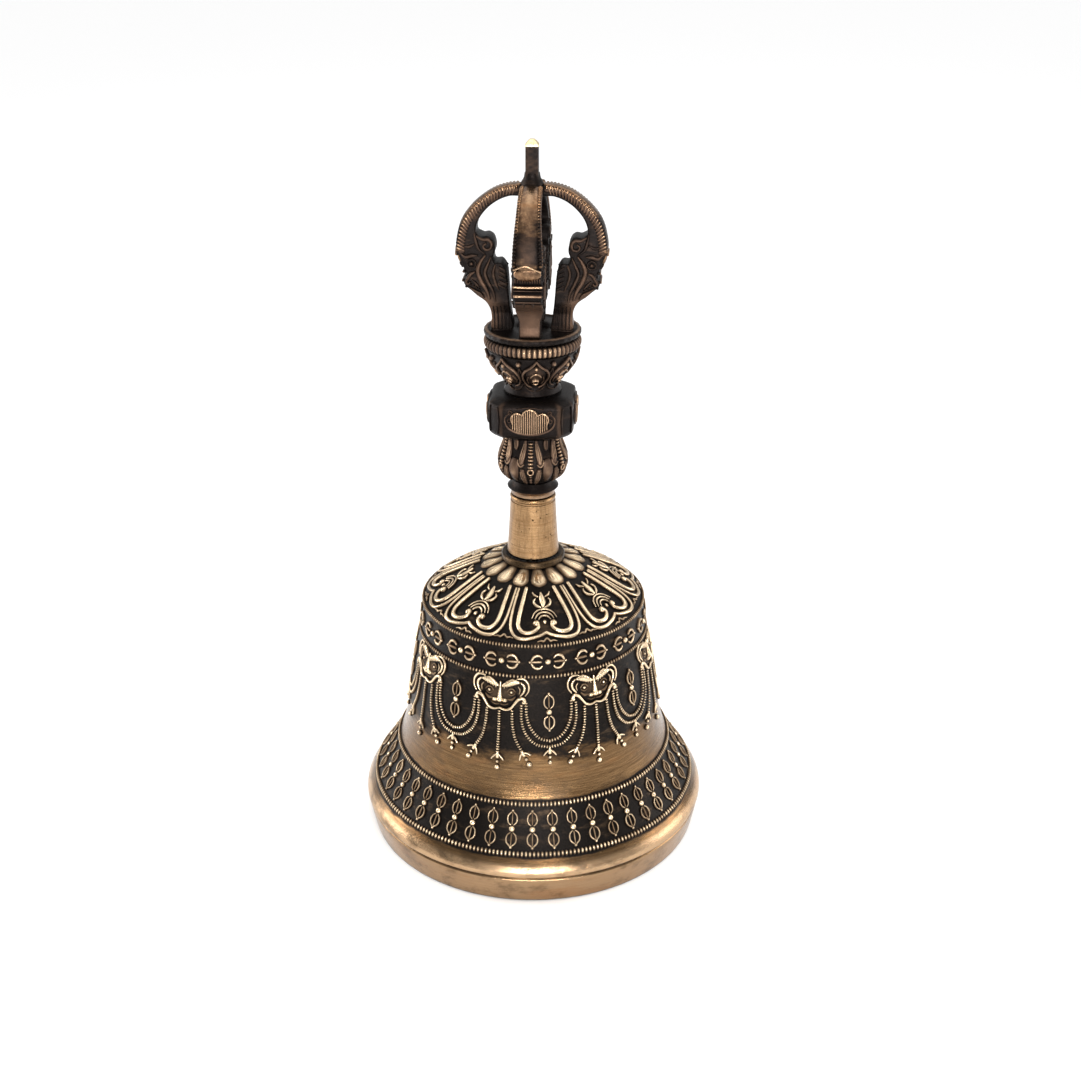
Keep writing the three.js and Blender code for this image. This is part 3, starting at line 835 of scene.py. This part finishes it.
def lotus():
    """The lotus cup, the ribbed ring on it, and the moon disc."""
    builder = Builder()
    spun(builder, bored(smooth_path(CUP_LINE, 0.35), ROD_BORE), 128)
    for k in range(SECTORS):
        ground = Ground(builder, on_side(CUP_LINE, LOTUS_TURN + k * SECTOR, 9.0), 1.1)
        ground.dot(0, 122.6, 2.7, 2.9, 0.55, around=20)
        ground.ridges([(0, 127.0), (0.45, 126.2), (1.2, 125.4), (2.4, 124.4), (3.05, 123.0), (2.95, 121.4),
                       (2.2, 120.2), (1.0, 119.7)], [0.45, 0.6, 0.65, 0.65, 0.6, 0.5, 0.35], 0.8)
        ground.put(hoop(0, 121.7, 0.72, 0.66, 0.5, 1.25, across=6, floor=0.2))
        ground.ridge([(-1.2, 123.0), (-0.65, 123.7), (0, 124.0), (0.65, 123.7), (1.2, 123.0)], 0.42, 0.95,
                     floor=0.0)
        ground.dot(0, 125.2, 0.5, 0.75, 1.0)
        ground.ridges([(1.75, 120.9), (2.1, 122.0), (1.7, 123.1)], [0.25, 0.4, 0.25], 0.8, floor=0.1)
        ground.dot(3.53, 126.1, 0.65, 0.75, 0.9, around=6)
        ground.ridges([(3.53, 125.0), (3.2, 123.8), (3.35, 122.4), (3.53, 121.5)], [0.3, 0.45, 0.3], 0.45)
        ground.ridges([(3.4, 120.4), (2.6, 119.1), (1.3, 118.5), (0.35, 118.4)], [0.3, 0.5, 0.4], 0.4)
    show("lotus_cup", builder, HANDLE)

    ribs = 58

    def rib(angle):
        return np.abs(np.cos(angle * ribs / 2)) ** 0.7

    turned_piece("bead_ring", [(10.6, 127.5), (11.0, 127.7), (11.25, 128.0), (11.42, 128.5),
                               (11.45, 128.9), (11.4, 129.3), (11.15, 129.7), (10.8, 130.0)], HANDLE,
                 ROD_BORE, ribs * 9, reach=lambda a, r, z: r - 0.5 * (1 - rib(a)) * (r > 10),
                 relief=lambda a, r, z: (0.82 + 0.15 * np.sin(3 * a + 1)) * rib(a) * (r > 10.6))
    turned_piece("moon_disc", [(10.4, 130.3), (10.9, 130.45), (11.25, 130.8), (11.35, 131.2),
                               (11.3, 131.6), (11.1, 131.9), (10.8, 132.0), (10.45, 132.0), (10.25, 131.8),
                               (10.0, 131.65), (9.0, 131.7), (6.0, 131.85), (2.0, 131.9)], HANDLE, 2.0,
                 180, reach=lambda a, r, z: r + 0.06 * np.sin(37 * a + 2 * np.sin(5 * a)) * (r > 10.3),
                 relief=lambda a, r, z: 0.75 * smoothstep(z, 131.5, 131.9) * smoothstep(r, 10.2, 10.5))


BACK_LINE = [(2.2, 164.85), (5.4, 164.5), (8.8, 163.3), (12.9, 160.2), (15.5, 156.7), (16.65, 152.8),
             (16.8, 150.3), (16.1, 147.6), (15.3, 145.9), (14.9, 144.4)]
LIP_LINE = [(15.3, 143.9), (15.6, 143.0), (15.0, 142.0), (13.9, 141.1), (12.4, 139.8)]
PLATE = [(2.4, 164.6), (5.4, 164.3), (8.8, 163.1), (12.7, 160.0), (15.3, 156.6), (16.45, 152.8),
         (16.6, 150.3), (15.9, 147.5), (15.1, 145.6), (14.7, 144.6), (15.5, 143.4), (15.2, 142.3),
         (13.9, 141.2), (12.4, 139.9), (10.6, 138.6), (9.7, 137.0), (9.3, 134.8), (9.3, 131.8),
         (4.5, 131.8), (4.7, 134.8), (5.1, 138.0), (5.4, 141.6), (5.6, 144.4), (6.0, 146.4), (7.0, 147.6),
         (8.4, 147.6), (8.75, 148.8), (8.3, 150.4), (8.6, 152.3), (9.8, 153.6), (11.3, 153.5),
         (12.5, 154.3), (12.5, 155.6), (11.7, 157.6), (9.8, 159.9), (7.4, 161.6), (5.0, 162.5),
         (2.4, 162.8)]


def prong_half_width(z):
    return np.interp(z, [131, 135.8, 138.4, 150, 154, 160, 165], [2.3, 2.3, 3.15, 3.2, 3.0, 2.5, 2.25])


def plate(outline, half_width, edge=0.45):
    """A flat shape, as radius and height, made into a plate with rounded edges."""
    line = smooth_path(outline, 0.3, closed=True)[::-1]
    n = len(line)
    along = np.roll(line, -1, 0) - np.roll(line, 1, 0)
    along /= np.linalg.norm(along, axis=1)[:, None]
    inward = np.stack([-along[:, 1], along[:, 0]], 1)
    rounded = [(1.0, 1.0), (0.45, 0.95), (0.12, 0.7), (0.0, 0.2)]
    rings = []
    for side, section in ((1, rounded), (-1, rounded[::-1])):
        for inset, up in section:
            spot = line + inward * inset * edge
            t = side * (half_width(spot[:, 1]) - edge * (1 - up))
            rings.append(np.stack([spot[:, 0], t, spot[:, 1]], 1))
    points = np.vstack(rings)
    cap = np.array(tessellate_polygon([[Vector((p[0], p[2], 0)) for p in rings[0]]]))
    a, b, c = points[cap[0]]
    if np.cross(b - a, c - a)[1] < 0:
        cap = cap[:, ::-1]
    other = cap[:, ::-1] + (len(rings) - 1) * n
    return points, grid_quads(len(rings), n, False, True), np.vstack([cap, other])


def prong_spine(builder, wrap, back):
    """The polished spine with a painted highlight down its middle, between two rows of beads, and the
    beast's muzzle at the foot of it.
    """
    length = back.s[-1]

    def polish(x, y):
        along = np.interp(y / length, [0, 0.35, 0.5, 0.62, 0.74, 0.8, 1],
                          [1, 0.95, 0.45, 0.15, 0.2, 0.8, 0.8])
        # A narrow stripe down the middle of the spine is marked above 1, which paints a highlight there.
        painted_spine_highlight = np.exp(-(x / 0.9) ** 2) * np.interp(y / length, [0, 0.1, 0.3, 0.5], [0, 1, 1, 0])
        return along + 0.7 * painted_spine_highlight

    spine = Ground(builder, wrap, 1.5, polish)
    spine.ridge([(0, 1.4), (0, length * 0.45), (0, length - 7.0)], [3.2, 4.4, 5.0], [0.4, 0.55, 0.5],
                across=16, step=0.5)
    for y in np.arange(1.2, length - 5.9, 0.8):
        x = prong_half_width(back.lift(y, 0)[1]) - 0.3
        spine.dots(x, y, 0.5, 0.37, 0.36, around=10, floor=-0.5)
    spine.dot(0, length - 4.3, 3.05, 1.75, 0.6, around=24)


def beast_front(outer, jaw, length):
    """The beast's brow, nose and lips, which cross the prong under its spine."""
    ridge = outer.ridge
    ridge([(-2.9, length - 5.7), (-1.4, length - 6.3), (-0.4, length - 6.5), (1.2, length - 6.0),
           (2.9, length - 5.3)], [0.4, 0.6, 0.6, 0.4], 0.75)
    for x in np.arange(-2.7, 2.8, 0.54):
        ridge([(x, length - 3.3), (x, length - 2.3)], [0.4, 0.3], [0.42, 0.3], across=4)
    ridge([(-3.0, length - 1.2), (0, length - 1.1), (3.0, length - 1.2)], 0.75, 0.62)
    ridge([(-3.0, length - 0.1), (0, length - 0.1), (3.0, length - 0.1)], 0.4, 0.25)
    jaw.ridge([(-2.9, 0.5), (0, 0.5), (2.9, 0.5)], 0.7, 0.5)
    jaw.ridge([(-2.7, 2.2), (0, 2.2), (2.7, 2.2)], 0.6, 0.3)
    jaw.ridges([(1.0, 3.0), (1.0, 4.4)], 0.5, 0.25)


def beast_side(face):
    """The beast's horn curl, its mane, its eye and brow, its jaws and teeth, and its fluted neck."""
    ridge = face.ridge
    ridge([(12.3, 153.6), (11.0, 152.9), (9.7, 152.9), (9.0, 151.9), (9.4, 150.8), (10.4, 150.7),
           (10.9, 151.5), (10.3, 152.0)], [0.5, 1.0, 1.0, 0.9, 0.8, 0.6], 0.5)
    ridge([(12.9, 154.2), (12.5, 152.3), (11.9, 150.7), (10.6, 149.7)], [0.4, 0.9, 0.9, 0.5], 0.35)
    ridge([(10.5, 149.3), (11.5, 147.9), (12.2, 145.8), (11.5, 143.5), (10.3, 141.4), (9.6, 139.4)],
          [0.6, 1.15, 1.3, 1.2, 0.6], 0.6)
    ridge([(9.2, 148.9), (9.9, 147.3), (10.6, 145.4), (9.9, 143.2), (8.8, 141.0), (8.3, 138.8)],
          [0.5, 0.95, 1.05, 0.95, 0.5], 0.45)
    ridge([(8.2, 147.2), (8.7, 145.5), (8.4, 143.6), (7.5, 141.5)], [0.5, 0.9, 0.9, 0.4], 0.45)
    for k in range(5):
        z = 146.4 - 1.05 * k
        ridge([(5.9 - 0.06 * k, z - 0.5), (6.6, z - 0.1), (7.3, z + 0.35)], [0.4, 0.7, 0.4], 0.35)
    face.dot(13.6, 147.4, 0.6, 0.55, 0.6)
    face.put(hoop(13.6, 147.4, 1.0, 0.95, 0.5, 0.35, step=0.3))
    ridge([(12.3, 149.3), (13.6, 149.2), (15.0, 148.9), (15.9, 149.7)], [0.4, 1.1, 1.0, 0.4], 0.5)
    ridge([(13.0, 151.8), (14.2, 151.2), (15.3, 151.4)], [0.4, 0.9, 0.4], 0.35)
    ridge([(12.9, 145.6), (13.9, 144.9), (14.5, 143.9), (14.9, 143.2), (14.5, 142.7), (14.0, 143.1)],
          [0.4, 1.0, 1.0, 0.8, 0.7, 0.5], 0.55)
    ridge([(14.1, 141.9), (12.8, 141.1), (11.6, 140.5), (10.9, 139.6)], [0.4, 0.8, 0.8, 0.4], 0.55)
    ridge([(13.4, 143.6), (12.6, 142.7), (11.9, 142.0)], [0.4, 0.8, 0.4], 0.4)
    for k in range(4):
        face.dot(13.75 - 0.62 * k, 142.55 - 0.36 * k, 0.26, 0.32, 0.45, around=6)
    for k in range(5):
        r = 5.2 + 0.85 * k
        ridge([(r, 132.2), (r + 0.05, 134.6), (r + 0.25, 137.4)], [0.25, 0.4, 0.25], 0.26, across=4)
    ridge([(4.6, 131.7), (7, 131.7), (9.2, 131.7)], 0.6, 0.35)


def rope_band(rope, back):
    """The twisted band along one side of a prong."""
    end = back.s[-1] - 6.0
    rope.ridge(back.lift(np.linspace(1.0, end, 14), -0.85).T, [1.0, 1.7, 1.8], 0.13)
    for y in np.arange(1.6, end, 0.8):
        hatch = [back.lift(y, -0.2), back.lift(y, -1.6) + 0.6 * back.forward(y)]
        rope.ridge(hatch, [0.6, 0.4], [0.3, 0.2], across=5)


def prong(name, degrees):
    """One curved prong, which rises out of the jaws of a beast and closes over to the centre."""
    angle = math.radians(degrees)
    c, s = math.cos(angle), math.sin(angle)

    def stand(r, t, z):
        return np.stack([r * s + t * c, -r * c + t * s, z], -1)

    def across(profile):
        """Wraps flat shapes on the prong: x runs across it, and y runs along the profile."""

        def wrap(x, y, h):
            r, z = profile.lift(y, h)
            return stand(r, x, z)

        return wrap

    builder = Builder()
    points, quads, tris = plate(PLATE, prong_half_width)
    outward = (points[:, 0] > 8.2) & (points[:, 2] < 141)
    builder.add(stand(*points.T), quads, tris, relief=np.where(outward, 0.5, 0.1))
    back, lip = Profile(smooth_path(BACK_LINE, 0.3)), Profile(LIP_LINE)
    prong_spine(builder, across(back), back)
    beast_front(Ground(builder, across(back), 0.66), Ground(builder, across(lip), 0.6), back.s[-1])
    for side in (1, -1):
        def on_face(x, y, h, side=side):
            return stand(x, side * (prong_half_width(y) + h), y)

        beast_side(Ground(builder, on_face, 1.2))
        rope_band(Ground(builder, on_face, 0.36), back)
    show(name, builder, PRONG, sharp=58)


def spike():
    """The square centre prong, its bright worn tip, and the knuckle where the four prongs meet it."""
    builder = Builder()

    def square(angle, r, z):
        c, s = np.abs(np.cos(angle)), np.abs(np.sin(angle))
        return r * (c ** 14 + s ** 14) ** (-1 / 14)

    heights = np.arange(131.6, 173.5, 0.7)
    half = np.interp(heights, [131.6, 173.6], [1.65, 1.45])
    outline = np.vstack([np.stack([half, heights], 1), [1.46, 173.5], [AXIS, 173.6]])
    spun(builder, bored(outline), 32, reach=square,
         relief=lambda a, r, z: 0.18 + 0.15 * np.abs(np.sin(z * 2.2 + 2 * a)))
    knuckle = [(1.6, 161.6), (2.5, 162.6), (2.85, 164.0), (2.5, 165.3), (1.95, 166.2), (1.7, 167.4)]
    spun(builder, bored(smooth_path(knuckle, 0.3)), 40)
    show("centre_spike", builder, PRONG, sharp=58)

    builder = Builder()
    outline = [(1.49, 173.2), (1.49, 173.62), (1.0, 174.2), (0.5, 174.65), (0.3, 174.7)]
    spun(builder, bored(outline), 32, reach=square)
    show("spike_tip", builder, TIP, replaces=(), sharp=30)


# ---- the clapper ----

def wire_ring(builder, height, mean, wire, across_x):
    """A ring of round wire round the axis at that height, standing in the plane of X or of Y."""
    around, along = 16, 48
    a = np.arange(along)[:, None] * TURN / along
    b = np.arange(around)[None] * TURN / around
    reach = mean + wire * np.cos(b)
    flat, side = reach * np.cos(a), wire * np.sin(b) + 0 * a
    up = height + reach * np.sin(a)
    points = np.stack([flat, side, up] if across_x else [-side, flat, up], -1)
    builder.add(points.reshape(-1, 3), grid_quads(along, around, True, True))


def clapper():
    """The hanger's nut and eye, the link in that eye, and the clapper's shank and ball in the link."""
    builder = Builder()

    def hexagon(angle, r, z):
        turned = (angle + TURN / 12) % (TURN / 6) - TURN / 12
        return np.where(r > 4, r * np.cos(TURN / 12) / np.cos(turned), r)

    outline = [(1.2, 61.9), (1.6, 62.6), (4.1, 62.6), (4.4, 62.9), (4.4, 67.5), (4.1, 67.8)]
    spun(builder, bored(outline), 72, reach=hexagon)
    wire_ring(builder, 59.6, 2.6, 0.9, True)
    show("clapper_hanger", builder, STEEL, sharp=40)

    builder = Builder()
    wire_ring(builder, 55.55, 3.3, 0.8, False)
    show("clapper_link", builder, STEEL, body="link")

    builder = Builder()
    wire_ring(builder, 51.5, 2.6, 0.9, True)
    outline = [(1.2, 7.0), (1.3, 7.1), (1.3, 47.5), (1.7, 48.6), (1.2, 49.2), (AXIS, 49.4)]
    spun(builder, bored(outline), 24)
    show("clapper_shank", builder, STEEL, body="clapper")

    builder = Builder()
    turns = np.radians(np.linspace(-76, 76, 40))
    ball = np.stack([6.5 * np.cos(turns), 12.5 + 6.5 * np.sin(turns)], 1)
    spun(builder, bored(ball, 1.5), 64)
    show("clapper_ball", builder, STRIKER, body="clapper")


# ---- camera, light and floor ----

def stage():
    """A camera in front of the bell that looks down on it, a white floor and a soft studio light."""
    distance, height = 334.0 * MM, 232.9 * MM
    azimuth = math.radians(4.0)
    pitch, yaw = math.radians(24.996), math.radians(-0.3134)
    camera = in_scene("camera", bpy.data.cameras.new("camera"))
    camera.location = (distance * math.sin(azimuth), -distance * math.cos(azimuth), height)
    camera.rotation_euler = (math.pi / 2 - pitch, 0, azimuth + yaw)
    camera.data.sensor_width = 36.0
    camera.data.angle = math.radians(39.918)
    camera.data.clip_start, camera.data.clip_end = 0.01, 20
    bpy.context.scene.camera = camera
    bpy.context.scene.view_settings.view_transform = "Standard"

    floor_mesh = bpy.data.meshes.new("floor")
    reach = 4.0
    corners = [(-reach, -reach, 0), (reach, -reach, 0), (reach, reach, 0), (-reach, reach, 0)]
    floor_mesh.from_pydata(corners, [], [(0, 1, 2, 3)])
    floor = in_scene("floor", floor_mesh)
    paper = Nodes("floor_paper")
    grain = paper.bump(paper.noise(3.0), 0.02)
    floor_mesh.materials.append(paper.finish((0.97, 0.97, 0.97, 1), 0.8, 0.0, grain))

    world = bpy.data.worlds.new("studio")
    bpy.context.scene.world = world
    world.use_nodes = True
    background = world.node_tree.nodes["Background"].inputs
    background["Color"].default_value = (1, 1, 1, 1)
    background["Strength"].default_value = 0.55

    def softbox(name, place, size, power):
        light = bpy.data.lights.new(name, "AREA")
        light.shape, light.size, light.size_y, light.energy = "RECTANGLE", size[0], size[1], power
        lamp = in_scene(name, light)
        lamp.location = place
        aim = Vector((0, 0, 0.07)) - Vector(place)
        lamp.rotation_euler = aim.to_track_quat("-Z", "Y").to_euler()

    softbox("front_strip", (0.08, -0.8, 0.22), (0.42, 0.06), 5.0)
    softbox("front_softbox", (0.12, -0.65, 0.75), (0.2, 0.2), 1.5)
    softbox("left_softbox", (-0.7, 0.1, 0.28), (0.4, 0.5), 3.5)
    softbox("right_softbox", (0.7, 0.1, 0.28), (0.4, 0.5), 2.8)
    sky = bpy.data.lights.new("sky_panel", "SUN")
    sky.energy, sky.angle = 1.5, math.radians(80)
    lamp = in_scene("sky_panel", sky)
    lamp.rotation_euler = (math.radians(-12), math.radians(6), 0)


for node in ("tie_rod", "crown_washer"):
    for material_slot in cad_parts[node].material_slots:
        material_slot.material = STEEL
bell_casting()
bell_ornament()
neck()
knop()
block()
lotus()
for prong_name, prong_angle in PRONG_ANGLES.items():
    prong(prong_name, prong_angle)
spike()
clapper()
stage()
